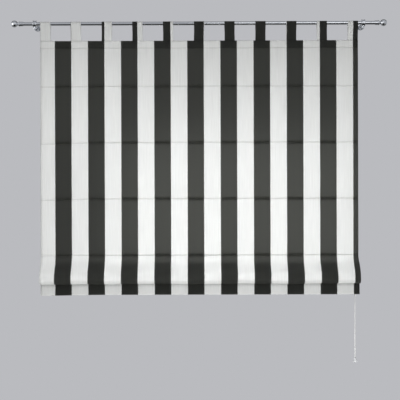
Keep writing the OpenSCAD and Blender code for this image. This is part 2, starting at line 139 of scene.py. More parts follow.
def rounded(corners, radius, steps, most=0.45):
    # each inner corner becomes a quadratic curve between its two sides, most is the largest
    # share of the shorter side that it takes
    p = np.array(corners, float)
    back, ahead = p[:-2] - p[1:-1], p[2:] - p[1:-1]
    backLength = np.linalg.norm(back, axis=1, keepdims=True)
    aheadLength = np.linalg.norm(ahead, axis=1, keepdims=True)
    reach = np.minimum(radius, most * np.minimum(backLength, aheadLength))
    start, end = p[1:-1] + back / backLength * reach, p[1:-1] + ahead / aheadLength * reach
    t = np.linspace(0, 1, steps)[None, :, None]
    middle = 2 * t * (1 - t) * p[1:-1][:, None]
    curve = (1 - t) ** 2 * start[:, None] + middle + t ** 2 * end[:, None]
    return np.concatenate([p[:1], curve.reshape(-1, 2), p[-1:]])


def onGrid(*parts):  # points from their coordinates, each spread over the rows and columns
    return np.stack(np.broadcast_arrays(*parts), axis=-1)


def lengthAlong(line):  # distance from the line's start at each of its points
    return np.concatenate([[0], np.cumsum(np.linalg.norm(np.diff(line, axis=0), axis=1))])


def tubeAround(path, radius, sides):  # a circle carried along a path that lies across Y
    tangent = np.gradient(path, axis=0)
    tangent /= np.linalg.norm(tangent, axis=1, keepdims=True)
    across = np.array([0.0, 1.0, 0.0])
    up = np.cross(tangent, across)
    angle = np.linspace(0, fullTurn, sides, endpoint=False)[None, :, None]
    size = np.broadcast_to(radius, len(path))[:, None, None]
    return path[:, None] + size * (np.cos(angle) * across + np.sin(angle) * up[:, None])


def turned(profile, centre, axis, sides, flute=None):
    # a profile of (along, radius) spun about an axis, flute scales its radius point by point
    angle = np.linspace(0, fullTurn, sides, endpoint=False)
    along, radius = profile[:, :1], profile[:, 1:] * (1 if flute is None else flute(profile, angle))
    spun = {"x": (0, 1, 2), "y": (1, 2, 0), "z": (2, 0, 1)}[axis]
    points = np.zeros((len(profile), sides, 3))
    points[..., spun[0]] = along
    points[..., spun[1]] = radius * np.cos(angle)
    points[..., spun[2]] = radius * np.sin(angle)
    return points + np.array(centre)


def makePiece(name, patches, material, body, closed=False, uv=None, seam=None, thick=0.0):
    # each patch is a grid of points whose neighbours are joined; closed wraps its columns and
    # caps its ends, uv and seam are given point by point, and thick gives a sheet its two faces
    faces, first = [], 0
    for patch in patches:
        rows, cols = patch.shape[:2]
        index = first + np.arange(rows * cols).reshape(rows, cols)
        ring = np.concatenate([index, index[:, :1]], axis=1) if closed else index
        quads = np.stack([ring[:-1, :-1], ring[:-1, 1:], ring[1:, 1:], ring[1:, :-1]], axis=-1)
        faces += quads.reshape(-1, 4).tolist()
        faces += [index[0, ::-1].tolist(), index[-1].tolist()] if closed else []
        first += rows * cols
    mesh = bpy.data.meshes.new(name)
    mesh.from_pydata(np.concatenate([p.reshape(-1, 3) for p in patches]).tolist(), [], faces)
    if uv is not None:
        corner = np.zeros(len(mesh.loops), int)
        mesh.loops.foreach_get("vertex_index", corner)
        flat = np.concatenate([u.reshape(-1, 2) for u in uv])[corner]
        mesh.uv_layers.new(name="weave").data.foreach_set("uv", flat.ravel())
    if seam is not None:
        strength = np.concatenate([np.broadcast_to(s, p.shape[:2]).ravel()
                                   for s, p in zip(seam, patches)]).astype(np.float32)
        mesh.attributes.new("seam", "FLOAT", "POINT").data.foreach_set("value", strength)
    if closed:
        work = bmesh.new()
        work.from_mesh(mesh)
        bmesh.ops.remove_doubles(work, verts=work.verts, dist=meshCare["merge"])
        bmesh.ops.dissolve_degenerate(work, edges=work.edges, dist=meshCare["sliver"])
        bmesh.ops.recalc_face_normals(work, faces=work.faces)
        work.to_mesh(mesh)
        work.free()
    mesh.polygons.foreach_set("use_smooth", np.ones(len(mesh.polygons), bool))
    if closed:
        mesh.set_sharp_from_angle(angle=math.radians(meshCare["sharp"]))
    mesh.materials.append(material)
    piece = bpy.data.objects.new(name, mesh)
    bpy.context.scene.collection.objects.link(piece)
    if thick:
        piece.modifiers.new("thickness", "SOLIDIFY").thickness = thick
        piece.modifiers["thickness"].offset = 0
    if body:
        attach(piece, body)
    return piece


# Camera: level, in line with the middle, 4.3 m in front of the cloth

cameraSpot = {
    "eye": (0.015, -4.387, -0.760), "aim": (0.0024, -0.0874, -0.7786), "roll": 0.18,
    "lens": 87.72, "sensor": 36,
}


def placeCamera(spot):
    camera = bpy.data.objects.new("camera", bpy.data.cameras.new("camera"))
    camera.data.lens, camera.data.sensor_width = spot["lens"], spot["sensor"]
    bpy.context.scene.collection.objects.link(camera)
    camera.matrix_world = lookingAt(spot["eye"], spot["aim"], math.radians(spot["roll"]))
    bpy.context.scene.camera = camera


placeCamera(cameraSpot)
print("camera placed")


# Materials

def weaveMap(tree):  # the piece's own weave coordinates, whole and as X and Y
    uv = addNode(tree, "UVMap", {"uv_map": "weave"})
    return uv, addNode(tree, "SeparateXYZ", {}, {"Vector": uv}).outputs


def crossingThreads(tree, part, spacing):  # plain weave: a sine across times a sine along
    waves = []
    for way in ("X", "Y"):
        turns = addNode(tree, "Math", times, {0: part[way], 1: fullTurn / spacing})
        waves.append(addNode(tree, "Math", sine, {0: turns}))
    return addNode(tree, "Math", times, {0: waves[0], 1: waves[1]})


def closeMaterial(tree, look, height, surface, through=0.0, lit=None):
    # a shader bumped by a height, and for a cloth its mix with the light that comes through
    bump = addNode(tree, "Bump", {},
                   {"Height": height, "Strength": look["bump"], "Distance": look["relief"]})
    shader = addNode(tree, "BsdfPrincipled", {}, {**surface, "Normal": bump})
    if through:
        behind = addNode(tree, "BsdfTranslucent", {}, {"Color": lit})
        shader = addNode(tree, "MixShader", {}, {0: through, 1: shader, 2: behind})
    addNode(tree, "OutputMaterial", {}, {"Surface": shader})


braidedLook = {
    "thread": "#efefeb", "gap": "#c9c9c4", "gapTo": 0.2, "plait": 0.0030, "around": 2,
    "bump": 0.5, "relief": 0.0002, "roughness": 0.8,
}


def braidedCord(look):  # braided polyester cord: white, dull, small crossing plaits
    material, tree = newMaterial("polyester cord, braided")
    part = weaveMap(tree)[1]
    across = addNode(tree, "Math", times, {0: part["X"], 1: fullTurn * look["around"]})
    strands = []
    for turn in (fullTurn / look["plait"], -fullTurn / look["plait"]):
        slant = addNode(tree, "Math", timesPlus, {0: part["Y"], 1: turn, 2: across})
        strands.append(addNode(tree, "Math", sine, {0: slant}))
    height = addNode(tree, "Math", times, {0: strands[0], 1: strands[1]})
    # painted shade: the colour darkens towards the gap colour where the plaits dip, standing in for
    # the shadow between them
    shade = addNode(tree, "MapRange", {}, {0: height, 1: -1.0, 2: look["gapTo"], 3: 0.0, 4: 1.0})
    colour = addNode(tree, "Mix", inColour,
                     {0: shade, 6: hexToLinear(look["gap"]), 7: hexToLinear(look["thread"])})
    closeMaterial(tree, look, height, {"Base Color": colour, "Roughness": look["roughness"]})
    return material


# crease is painted shade: seam lines are darkened towards it, by up to seamShade, standing in for
# the shadow in their creases
stripedLook = {
    "chalk": "#f3f4f3", "ink": "#2c2d2b", "crease": "#20211f",
    "chalkThrough": "#dcdddc", "inkThrough": "#c6c7c3", "through": 0.42, "throughTwo": 0.37,
    "stripe": 0.073, "firstEdge": 0.064, "wander": 0.0007, "wanderPerMetre": 90.0,
    "streak": 0.0022, "streaksPerMetre": 9.0, "streakShade": (0.92, 1.05), "streakHeight": 1.5,
    "stitch": 0.0035, "stitchEnd": 0.4, "stitchShade": (0.6, 1.2), "seamShade": 0.26,
    "seamDent": -3.0, "thread": 0.0016, "bump": 0.35, "relief": 0.0002, "roughness": 0.88,
    "sheen": 0.08, "specular": 0.25,
}


def stripedCotton(look, name, through):
    # cotton drill, woven in dyed stripes: dull, streaked along the warp, and light comes through
    # it. real threads are 0.4 mm apart, drawn 1.6 mm apart so that they show in close views
    material, tree = newMaterial(name)
    uv, part = weaveMap(tree)
    # stripes: widths counted from the first edge, whose line wanders a little; odd ones are white
    wander = addNode(tree, "TexNoise", {},
                     {"Vector": uv, "Scale": look["wanderPerMetre"], "Detail": 2.0})
    edge = addNode(tree, "Math", timesPlus, {0: wander, 1: look["wander"], 2: part["X"]})
    firstEdge = look["firstEdge"] + look["wander"] / 2
    count = addNode(tree, "Math", timesPlus,
                    {0: edge, 1: 1 / look["stripe"], 2: -firstEdge / look["stripe"]})
    parity = addNode(tree, "Math", {"operation": "FLOORED_MODULO"}, {0: count, 1: 2.0})
    white = addNode(tree, "Math", {"operation": "GREATER_THAN"}, {0: parity, 1: 1.0})
    dyed = addNode(tree, "Mix", inColour,
                   {0: white, 6: hexToLinear(look["ink"]), 7: hexToLinear(look["chalk"])})
    # streaks: noise drawn out along the warp
    stretch = addNode(tree, "Mapping", {},
                      {"Vector": uv, "Scale": (1 / look["streak"], look["streaksPerMetre"], 1.0)})
    warp = addNode(tree, "TexNoise", {}, {"Vector": stretch, "Scale": 1.0, "Detail": 3.0})
    dark, pale = look["streakShade"]
    streak = addNode(tree, "MapRange", {}, {0: warp, 1: noiseLow, 2: noiseHigh, 3: dark, 4: pale})
    streaked = addNode(tree, "Mix", {**inColour, "blend_type": "MULTIPLY"},
                       {0: 1.0, 6: dyed, 7: streak})
    # seams: the sewn line's strength, broken into stitches along it
    sewn = addNode(tree, "Attribute", {"attribute_name": "seam"})
    slant = addNode(tree, "Math", {"operation": "ADD"}, {0: part["X"], 1: part["Y"]})
    pace = addNode(tree, "Math", times, {0: slant, 1: fullTurn / look["stitch"]})
    beat = addNode(tree, "Math", sine, {0: pace})
    end, (faint, strong) = look["stitchEnd"], look["stitchShade"]
    dash = addNode(tree, "MapRange", {}, {0: beat, 1: -end, 2: end, 3: faint, 4: strong})
    stitched = addNode(tree, "Math", times, {0: sewn.outputs["Fac"], 1: dash})
    # painted shade: along the stitched seam the colour darkens towards the crease colour, standing
    # in for the crease's shadow
    seamShade = addNode(tree, "Math", times, {0: stitched, 1: look["seamShade"]})
    colour = addNode(tree, "Mix", inColour,
                     {0: seamShade, 6: streaked, 7: hexToLinear(look["crease"])})
    weave = crossingThreads(tree, part, look["thread"])
    height = addNode(tree, "Math", timesPlus, {0: warp, 1: look["streakHeight"], 2: weave})
    dented = addNode(tree, "Math", timesPlus, {0: stitched, 1: look["seamDent"], 2: height})
    lit = addNode(tree, "Mix", inColour, {0: white, 6: hexToLinear(look["inkThrough"]),
                                          7: hexToLinear(look["chalkThrough"])})
    surface = {"Base Color": colour, "Roughness": look["roughness"], "Sheen Weight": look["sheen"],
               "Specular IOR Level": look["specular"]}
    closeMaterial(tree, look, dented, surface, through, lit)
    return material


liningLook = {
    "cotton": "#eeeee9", "dark": "#dedfd8", "lit": "#f4f3ee", "through": 0.65, "thread": 0.0014,
    "threadShade": 0.12, "cloudsPerMetre": 160.0, "bump": 0.4, "relief": 0.0002,
    "roughness": 0.9, "sheen": 0.08,
}


def liningCotton(look):
    # plain woven tape: matt off-white, fine crossing threads, light comes through it.
    # real threads are 0.3 mm apart, drawn 1.4 mm apart so that they show in close views
    material, tree = newMaterial("cotton tape, plain woven")
    uv, part = weaveMap(tree)
    weave = crossingThreads(tree, part, look["thread"])
    cloud = addNode(tree, "TexNoise", {},
                    {"Vector": uv, "Scale": look["cloudsPerMetre"], "Detail": 4.0})
    # the crossing threads shift the colour by threadShade, which is painted shade between the
    # threads; the cloud is random tone
    shade = addNode(tree, "Math", timesPlus, {0: weave, 1: look["threadShade"], 2: cloud})
    colour = addNode(tree, "Mix", inColour,
                     {0: shade, 6: hexToLinear(look["dark"]), 7: hexToLinear(look["cotton"])})
    surface = {"Base Color": colour, "Roughness": look["roughness"], "Sheen Weight": look["sheen"]}
    closeMaterial(tree, look, weave, surface, look["through"], hexToLinear(look["lit"]))
    return material


# rough gives the ends of the roughness, grain the width of a line in metres, and stretch how
# much longer the line is along each axis
chromeLook = {  # chrome plate: mirror bright, with very faint polishing lines along the rod
    "name": "steel, chrome plated", "colour": "#d4d7db", "rough": (0.06, 0.13), "grain": 0.0008,
    "stretch": (40, 1, 1), "bump": 0.008, "relief": 0.0001,
}
alloyLook = {  # extruded aluminium: satin, with die lines along the bar
    "name": "aluminium, extruded", "colour": "#b9bcc0", "rough": (0.3, 0.45), "grain": 0.0005,
    "stretch": (60, 1, 1), "bump": 0.1, "relief": 0.0001,
}
zincLook = {  # zinc-plated wire: grey, fairly bright, finely grained
    "name": "steel wire, zinc plated", "colour": "#b4b7bb", "rough": (0.22, 0.36),
    "grain": 0.0006, "stretch": (1, 1, 1), "bump": 0.05, "relief": 0.0001,
}
turnedLook = {  # turned steel: grey, with fine lines from the tool
    "name": "steel, turned", "colour": "#a9acb0", "rough": (0.18, 0.32), "grain": 0.0003,
    "stretch": (1, 30, 1), "bump": 0.08, "relief": 0.0001,
}


def metalFinish(look):  # bare or plated metal, with the fine lines left by its making
    material, tree = newMaterial(look["name"])
    place = addNode(tree, "TexCoord").outputs["Object"]
    scale = tuple(1 / (look["grain"] * s) for s in look["stretch"])
    lines = addNode(tree, "Mapping", {}, {"Vector": place, "Scale": scale})
    noise = addNode(tree, "TexNoise", {}, {"Vector": lines, "Scale": 1.0, "Detail": 3.0})
    smooth, rough = look["rough"]
    gloss = addNode(tree, "MapRange", {},
                    {0: noise, 1: noiseLow, 2: noiseHigh, 3: smooth, 4: rough})
    closeMaterial(tree, look, noise, {"Base Color": hexToLinear(look["colour"]), "Metallic": 1.0,
                                      "Roughness": gloss})
    return material


nylonLook = {  # white nylon mouldings: satin
    "name": "nylon, moulded", "colour": "#eeeeea", "worn": "#e2e2dd", "rough": 0.38,
    "grit": 0.0006, "bump": 0.05, "relief": 0.0001,
}
styreneLook = {  # white polystyrene: glossier
    "name": "polystyrene, moulded", "colour": "#d9dbdd", "worn": "#cfd1d3", "rough": 0.2,
    "grit": 0.0008, "bump": 0.02, "relief": 0.0001,
}
glassFibreLook = {  # drawn glass fibre: dull
    "name": "glass fibre rod, drawn", "colour": "#eceae2", "worn": "#dddad0", "rough": 0.5,
    "grit": 0.0004, "bump": 0.08, "relief": 0.0001,
}
plasticSkin = {"cloudsPerMetre": 120.0, "glossSpread": 0.06, "ior": 1.5}


def mouldedFinish(look, skin):
    # moulded or drawn plastic: one colour, faintly clouded, and the grit of the tool in its gloss
    material, tree = newMaterial(look["name"])
    place = addNode(tree, "TexCoord").outputs["Object"]
    cloud = addNode(tree, "TexNoise", {},
                    {"Vector": place, "Scale": skin["cloudsPerMetre"], "Detail": 2.0})
    speck = addNode(tree, "TexNoise", {},
                    {"Vector": place, "Scale": 1 / look["grit"], "Detail": 2.0})
    shade = addNode(tree, "Mix", inColour,
                    {0: cloud, 6: hexToLinear(look["worn"]), 7: hexToLinear(look["colour"])})
    smooth, rough = look["rough"] - skin["glossSpread"], look["rough"] + skin["glossSpread"]
    gloss = addNode(tree, "MapRange", {},
                    {0: speck, 1: noiseLow, 2: noiseHigh, 3: smooth, 4: rough})
    closeMaterial(tree, look, speck,
                  {"Base Color": shade, "Roughness": gloss, "IOR": skin["ior"]})
    return material


pineLook = {
    "early": "#efece4", "late": "#e2ddd0", "ring": 0.006, "waveWidth": 0.314, "along": 0.05,
    "distortion": 3.0, "bump": 0.2, "relief": 0.0002, "roughness": 0.6,
}


def primedPine(look):
    # planed softwood with thin white primer: rings 6 mm apart show faintly along the slat.
    # waveWidth is the width of one ring of the wave texture at scale 1
    material, tree = newMaterial("pine, planed and primed")
    place = addNode(tree, "TexCoord").outputs["Object"]
    grain = addNode(tree, "Mapping", {}, {"Vector": place, "Scale": (look["along"], 1.0, 1.0)})
    rings = addNode(tree, "TexWave", {"bands_direction": "Z"},
                    {"Vector": grain, "Scale": look["waveWidth"] / look["ring"],
                     "Distortion": look["distortion"], "Detail": 2.0, "Detail Scale": 2.0})
    ring = rings.outputs["Fac"]
    colour = addNode(tree, "Mix", inColour,
                     {0: ring, 6: hexToLinear(look["early"]), 7: hexToLinear(look["late"])})
    closeMaterial(tree, look, ring, {"Base Color": colour, "Roughness": look["roughness"]})
    return material


striped = stripedCotton(stripedLook, "striped cotton, woven", stripedLook["through"])
stripedTwo = stripedCotton(stripedLook, "striped cotton, two layers sewn",
                           stripedLook["throughTwo"])
lining = liningCotton(liningLook)
braid = braidedCord(braidedLook)
pine = primedPine(pineLook)
metals = (chromeLook, alloyLook, zincLook, turnedLook)
chrome, alloy, zinc, turnedSteel = (metalFinish(look) for look in metals)
plastics = (nylonLook, styreneLook, glassFibreLook)
nylon, styrene, glassFibre = (mouldedFinish(look, plasticSkin) for look in plastics)
print("materials made")


# Pull cord: plain drop from the joiner to the acorn, slightly off plumb

pullCord = {
    "exit": (0.689, -0.0702, -0.22285), "diameter": 0.0022, "sides": 12, "steps": 8,
    "route": [  # millimetres beside and above the exit
        (0, 8), (0, 0), (0, -60), (0, -140), (0, -220), (0, -300), (-1, -380), (-1, -460),
        (-1, -540), (-1, -620), (-1, -700), (-2, -780), (-2, -860), (-2, -940), (-2, -1020),
        (-2, -1110), (-2, -1200), (-2, -1256), (-2, -1264)],
    "acornTop": (0.687, -0.0702, -1.47885), "acornSize": (0.016, 0.021),
    "acornShares": [  # radius and depth as shares of its width and height
        (0.09, 0.03), (0.12, 0), (0.2, 0), (0.26, 0.06), (0.28, 0.2), (0.36, 0.4), (0.47, 0.58),
        (0.5, 0.7), (0.47, 0.82), (0.36, 0.93), (0.2, 0.985), (0, 1)],
    "acornSteps": 5, "acornSides": 40,
}


def cordPiece(name, path, diameter, sides, body):  # tube along a path, woven round and along it
    tube = tubeAround(path, diameter / 2, sides)
    along = lengthAlong(path)[:, None]
    around = np.arange(sides)[None, :] / sides
    uv = onGrid(around, along)
    return makePiece(name, [tube], braid, body, closed=True, uv=[uv])


def makePullCord(cord):
    beside = np.array([(x, 0, z) for x, z in cord["route"]]) * millimetre
    path = throughPoints(beside + np.array(cord["exit"]), cord["steps"])
    rope = cordPiece("pull_cord_braid", path, cord["diameter"], cord["sides"], "pull")
    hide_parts("pull_cord")
    wide, tall = cord["acornSize"]
    shape = throughPoints([(-h * tall, r * wide) for r, h in cord["acornShares"]],
                          cord["acornSteps"])
    shape[:, 1] = np.maximum(shape[:, 1], 0)
    shape[-1, 1] = 0
    drop = turned(shape, cord["acornTop"], "z", cord["acornSides"])
    acorn = makePiece("acorn_pull", [drop], styrene, "pull", closed=True)
    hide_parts("acorn")


makePullCord(pullCord)
print("pull cord hung")


# Lift cords: up from the toggles, round the guides, along the header and down through the lock

liftCords = {
    "x": (-0.6, -0.2, 0.2, 0.6), "y": (-0.0712, -0.0692, -0.0712, -0.0692),
    "runZ": (-0.092, -0.092, -0.094, -0.094), "diameter": 0.0014, "sides": 10, "bend": 0.004,
    "pinX": 0.68415, "pinZ": -0.09785, "tailZ": -0.2068, "joinerZ": -0.19885, "travel": 0.82,
    "dropPoints": 60, "bendPoints": 9, "runPoints": 40, "tailPoints": 24,
    "knotZ": -1.0803, "knot": 0.0042, "lobes": 3, "lobe": 0.14, "twist": 2.5, "pole": 0.02,
    "knotRows": 18, "knotSides": 24, "knotLay": 0.006,
}


def quarter(centre, radius, start, steps):  # quarter of a circle in X and Z, clockwise from start
    angle = np.radians(start - np.linspace(0, 90, steps))
    return onGrid(centre[0] + radius * np.cos(angle), centre[1] + radius * np.sin(angle))


def makeLiftCords(cord):
    # overhand knot: a ball whose radius swells in turning lobes
    polar = np.linspace(cord["pole"], np.pi - cord["pole"], cord["knotRows"])[:, None]
    ball = np.concatenate([np.cos(polar), np.sin(polar)], axis=1) * cord["knot"] / 2
    swell = lambda shape, angle: (
        1 + cord["lobe"] * np.sin(cord["lobes"] * angle[None, :] + cord["twist"] * polar))
    knots, bend = [], cord["bend"]
    for number, (x, y, z) in enumerate(zip(cord["x"], cord["y"], cord["runZ"]), 1):
        low, radius = z - bend, z - cord["pinZ"]
        side = cord["pinX"] + radius
        bar = np.linspace((x, cord["knotZ"]), (x, low), cord["dropPoints"])
        run = np.concatenate([
            quarter((x + bend, low), bend, 180, cord["bendPoints"]),
            np.linspace((x + bend, z), (cord["pinX"], z), cord["runPoints"])[1:-1],
            quarter((cord["pinX"], cord["pinZ"]), radius, 90, cord["bendPoints"])])
        tail = np.linspace((side, cord["pinZ"]), (side, cord["tailZ"]), cord["tailPoints"])
        bar, run, tail = (np.insert(line, 1, y, axis=1) for line in (bar, run, tail))
        size = cord["diameter"], cord["sides"]
        drop = cordPiece(f"lift_cord_drop_{number}", bar, *size, "frame")
        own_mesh(drop)
        head = cordPiece(f"lift_cord_run_{number}", run, *size, "frame")
        end = cordPiece(f"lift_cord_tail_{number}", tail, *size, None)
        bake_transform(end)
        for piece in (drop, head, end):
            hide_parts(f"lift_cord_{number}")
        knots.append(turned(ball, (x, y, cord["knotZ"]), "z", cord["knotSides"], swell))
    lay = onGrid(np.linspace(0, 1, cord["knotSides"]),
                 np.linspace(0, cord["knotLay"], cord["knotRows"])[:, None])
    tied = makePiece("lift_cord_knots", knots, braid, "bottom", closed=True,
                     uv=[lay] * len(knots))
    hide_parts(*(f"lift_cord_{number}" for number in range(1, len(knots) + 1)))


makeLiftCords(liftCords)
print("lift cords strung")


# Cloth: header, flat drop with four seam lines, and the lowest pleat folded forward with the hem

clothCut = {
    "half": 0.700, "thick": 0.0012, "midY": -0.0868, "topZ": -0.076, "stitchZ": -0.110,
    "stitchLine": -0.1078, "seamZ": (-0.277, -0.525, -0.773, -1.021), "travel": 0.82,
    "columns": 141, "rowStep": 0.009,
    "besideSeam": (0.3, 0.7, 1.1, 1.6, 2.2, 3, 4, 5.5, 7.5),  # rows, in millimetres
    "puff": 0.0011, "crease": 0.0035, "billow": 0.0016, "ripple": 0.0009,
    # ripples: lengths in metres and starts in turns, after the share that the last two have
    "cells": (0.43, 0.15, 0.36, 0.2), "swell": (0.7, 0.21, 0.95, 0.6), "pucker": (0.5, 0.127, 0.6),
    "sag": 0.0065, "sagX": (-0.42, -0.70), "sagTop": -0.15, "sagGrows": 0.35, "sagEnds": 0.2,
    "sideHem": 0.018, "hemStep": 0.0005, "hemRim": 0.0012, "sideStitch": 0.35, "seamWide": 0.0016,
}
foldShape = {
    "out": 0.054, "peak": 0.106, "low": 0.124, "turnTop": 0.038, "turn": 0.0035, "hang": 0.00162,
    # pulls of the curves, as shares of out, peak and low
    "swell": (0.15, 0.47, 0.57), "under": (0.6, 0.85), "belly": 0.63, "back": (0.41, 0.92),
    "rise": (0.26, 0.82), "climb": (0.67, 0.49), "flapPull": 0.35,
    "curveSteps": (30, 16, 16, 22, 26), "turnSteps": 11, "hemSteps": 13,
    "hemOut": 0.01404, "hemLow": 0.171, "hemLean": 4.0, "hemTall": 0.044, "hemTurn": 0.0024,
    "hemFront": 0.7, "hemBack": (0.4, 0.75), "jog": 0.004, "jogOut": 0.8,
    "waver": 0.035, "wavers": (0.52, 0.1, 0.6, 0.29, 0.4),
    "dip": 0.0012, "dips": (0.4, 0.25, 0.4, 0.17, 0.7),
    "sagKept": 0.5, "seamSag": 0.6, "flare": 0.0032, "flareOver": 0.024, "startOver": 0.06,
}


def clothWidth(cut):
    x = np.linspace(-cut["half"], cut["half"], cut["columns"])
    rim = cut["half"] - cut["sideHem"] + cut["hemRim"] * np.array([-1, 0, 1])
    return np.sort(np.concatenate([x, rim, -rim]))


def pastSideHem(cut, x):  # how far x lies outside the side hem's stitch line
    return np.abs(x) - cut["half"] + cut["sideHem"]


def sideStep(cut, x):  # the side hems are two layers, so the cloth stands forward by a step there
    return cut["hemStep"] * smoothStep(pastSideHem(cut, x) / (2 * cut["hemRim"]) + 0.5)


def sideStitch(cut, x):  # strength of the stitch line along a side hem
    # the material draws this line as stitches darkened with painted crease shade
    return cut["sideStitch"] * np.exp(-(pastSideHem(cut, x) / cut["hemRim"]) ** 2)


def leftSag(cut, x):  # the left end hangs a little lower
    first, last = cut["sagX"]
    return -cut["sag"] * smoothStep((x - first) / (last - first))


def hangForward(cut, x, z):
    # how far the flat cloth stands in front of its seams: a puff beside each seam line, a billow
    # between two, and slow ripples that die away at the battens
    lines = np.array([cut["stitchLine"], *cut["seamZ"]])
    near = np.exp(-((z[..., None] - lines) / cut["crease"]) ** 2).sum(-1)
    share = np.interp(z, lines[::-1], np.arange(len(lines))[::-1]) % 1
    free = 4 * share * (1 - share)
    cellX, startX, cellZ, startZ = cut["cells"]
    swell, swellX, swellZ, swellStart = cut["swell"]
    pucker, puckerX, puckerZ = cut["pucker"]
    wave = np.sin(fullTurn * (x / cellX + startX)) * np.sin(fullTurn * (z / cellZ + startZ))
    wave += swell * np.sin(fullTurn * (x / swellX + z / swellZ + swellStart))
    wave += pucker * np.sin(fullTurn * (x / puckerX - z / puckerZ))
    loose = free * (cut["billow"] + cut["ripple"] * wave)
    return cut["puff"] * (1 - near) + loose + sideStep(cut, x)


def seamRows(cut, top, low):  # heights from top to low, closer together beside the seam lines
    lines = np.array([cut["stitchLine"], *cut["seamZ"]])
    offsets = np.array(cut["besideSeam"]) * millimetre
    close = (lines[:, None] + np.concatenate([-offsets, [0], offsets])).ravel()
    rows = np.concatenate([np.arange(low, top, cut["rowStep"]), close, [top, low]])
    rows = np.unique(np.round(rows, 5))
    return rows[(rows >= low) & (rows <= top)][::-1]


def flatCloth(cut, x, z):  # points, weave coordinates and seam strength of the hanging cloth
    xx, zz = np.meshgrid(x, z)
    lines = np.array([cut["stitchLine"], *cut["seamZ"]])
    grown = smoothStep((cut["sagTop"] - zz) / cut["sagGrows"])
    sag = leftSag(cut, xx) * grown * smoothStep((zz - lines[-1]) / cut["sagEnds"])
    points = onGrid(xx, cut["midY"] - hangForward(cut, xx, zz), zz + sag)
    uv = onGrid(xx + cut["half"], cut["topZ"] - zz)
    # seam strength: the material darkens the colour there with painted crease shade and dents the
    # surface
    seam = np.exp(-((zz[..., None] - lines) / cut["seamWide"]) ** 2).sum(-1) + sideStitch(cut, xx)
    return points, uv, seam


def foldLine(fold):
    # (forward, down) from the last seam: belly, turn over the pocket, flap, hem turn and return
    out, peak, low = fold["out"], fold["peak"], fold["low"]
    startOut, startDown, peakUp = fold["swell"]
    peakShare, lowOut = fold["under"]
    backOut, backDown = fold["back"]
    riseDown, climbDown = fold["climb"]
    belly, rise = (fold["belly"] * out, low), (fold["rise"][0] * out, fold["rise"][1] * low)
    top = np.array([fold["hang"] + fold["turn"], fold["turnTop"]])
    lean = math.radians(fold["hemLean"])
    down = np.array([math.sin(lean), math.cos(lean)])
    ahead = np.array([math.cos(lean), -math.sin(lean)])
    tall = fold["hemTall"] * down
    hemLow = np.array([fold["hemOut"], fold["hemLow"]])
    hemTop = hemLow - tall
    flapTop = np.array([fold["hang"], fold["turnTop"]])
    flap = fold["flapPull"] * (hemTop[1] - fold["turnTop"])
    half = np.linspace(0, np.pi, fold["turnSteps"])[1:, None]
    over = flapTop + (fold["turn"] / 2, 0)
    arch = over + fold["turn"] / 2 * np.concatenate([np.cos(half), -np.sin(half)], axis=1)
    under = np.linspace(0, np.pi, fold["hemSteps"])[:, None]
    hem = hemLow + fold["hemTurn"] * (np.sin(under) * down - (1 - np.cos(under)) * ahead)
    end = hem[-1] - tall
    steps = fold["curveSteps"]
    underPull = (out, peakShare * peak + (1 - peakShare) * low)
    stretches = [
        np.zeros((1, 2)),
        cubic((0, 0), (startOut * out, startDown * peak), (out, peakUp * peak), (out, peak),
              steps[0]),
        cubic((out, peak), underPull, (lowOut * out, low), belly, steps[1]),
        cubic(belly, (backOut * out, low), (rise[0], backDown * low), rise, steps[2]),
        cubic(rise, (rise[0], riseDown * low), (top[0], climbDown * low), top, steps[3]),
        arch,
        cubic(flapTop, flapTop + (0, flap), hemTop - flap * down, hemTop, steps[4]),
        hem[:1] - np.linspace(fold["hemFront"], 0, 4)[:-1, None] * tall,
        hem,
        hem[-1] - np.array(fold["hemBack"])[:, None] * tall,
        np.array([end, end - fold["jog"] * down + fold["jogOut"] * fold["hemTurn"] * ahead]),
    ]
    return np.concatenate(stretches), np.cumsum([len(part) for part in stretches]) - 1


def foldedCloth(cut, fold, x):
    line, last = foldLine(fold)
    along = lengthAlong(line)
    turnTop, hemTop = along[last[4]], along[last[6]]
    # the belly and the rise behind it are free to waver, the rest is sewn or weighted
    free = np.sin(np.pi * np.clip(along / turnTop, 0, 1))[:, None] ** 2
    begun = smoothStep(along / fold["startOver"])[:, None]
    sag = fold["sagKept"] * leftSag(cut, x) * begun
    slide = -sag * math.tan(math.radians(fold["hemLean"]))  # the hem stays before its leaning bar
    waver = 1 + fold["waver"] * free * twoWaves(x, fold["wavers"])
    forward = line[:, :1] * waver + sideStep(cut, x) + slide
    down = line[:, 1:] + fold["dip"] * free * twoWaves(x, fold["dips"])
    rightEnd = smoothStep((x - cut["half"]) / fold["flareOver"] + 1)
    wide = x + fold["flare"] * rightEnd * begun
    points = onGrid(wide, cut["midY"] - forward, cut["seamZ"][-1] - down + sag)
    fromTop = (cut["topZ"] - cut["seamZ"][-1] + along)[:, None]
    uv = onGrid(x + cut["half"], fromTop)
    # seam strength at the last seam, the hem top and the side hems: the material darkens the colour
    # there with painted crease shade and dents the surface
    fromSeam = along[:, None] + fold["seamSag"] * leftSag(cut, x)
    seam = np.exp(-(fromSeam / cut["seamWide"]) ** 2)
    seam += np.exp(-((along[:, None] - hemTop) / cut["seamWide"]) ** 2) + sideStitch(cut, x)
    return points, uv, seam, along[-1]


